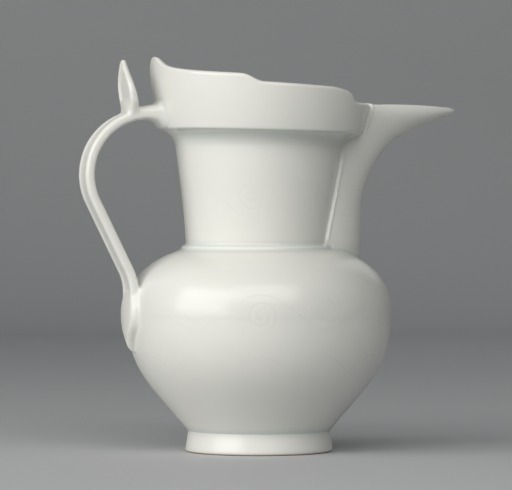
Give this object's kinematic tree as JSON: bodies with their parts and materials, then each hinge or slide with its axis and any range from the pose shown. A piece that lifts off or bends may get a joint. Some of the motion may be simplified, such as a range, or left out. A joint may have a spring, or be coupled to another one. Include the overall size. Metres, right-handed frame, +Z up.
{
  "type": "monk cap ewer",
  "caption": "White-glazed porcelain ewer with a bulbous body, stepped cap-shaped collar, open duck-bill spout, strap handle with thumb leaf and a ring foot; no lid.",
  "frame": {"origin": "on the axis of the pot, at the plane its foot ring stands on", "axes": "+Z up along the pot's axis, +X towards the spout's tip, so the handle is at -X; +Y by the right-hand rule"},
  "size_m": [0.1949, 0.132, 0.1972],
  "materials": {
    "white_glaze": "gloss"
  },
  "bodies": {
    "root": {"foot_ring": "white_glaze", "lower_body": "white_glaze", "upper_body": "white_glaze", "neck_ring": "white_glaze", "neck": "white_glaze", "cap_collar": "white_glaze", "spout": "white_glaze", "spout_rib": "white_glaze", "handle": "white_glaze", "thumb_leaf": "white_glaze", "handle_terminal": "white_glaze"}
  },
  "joints": []
}
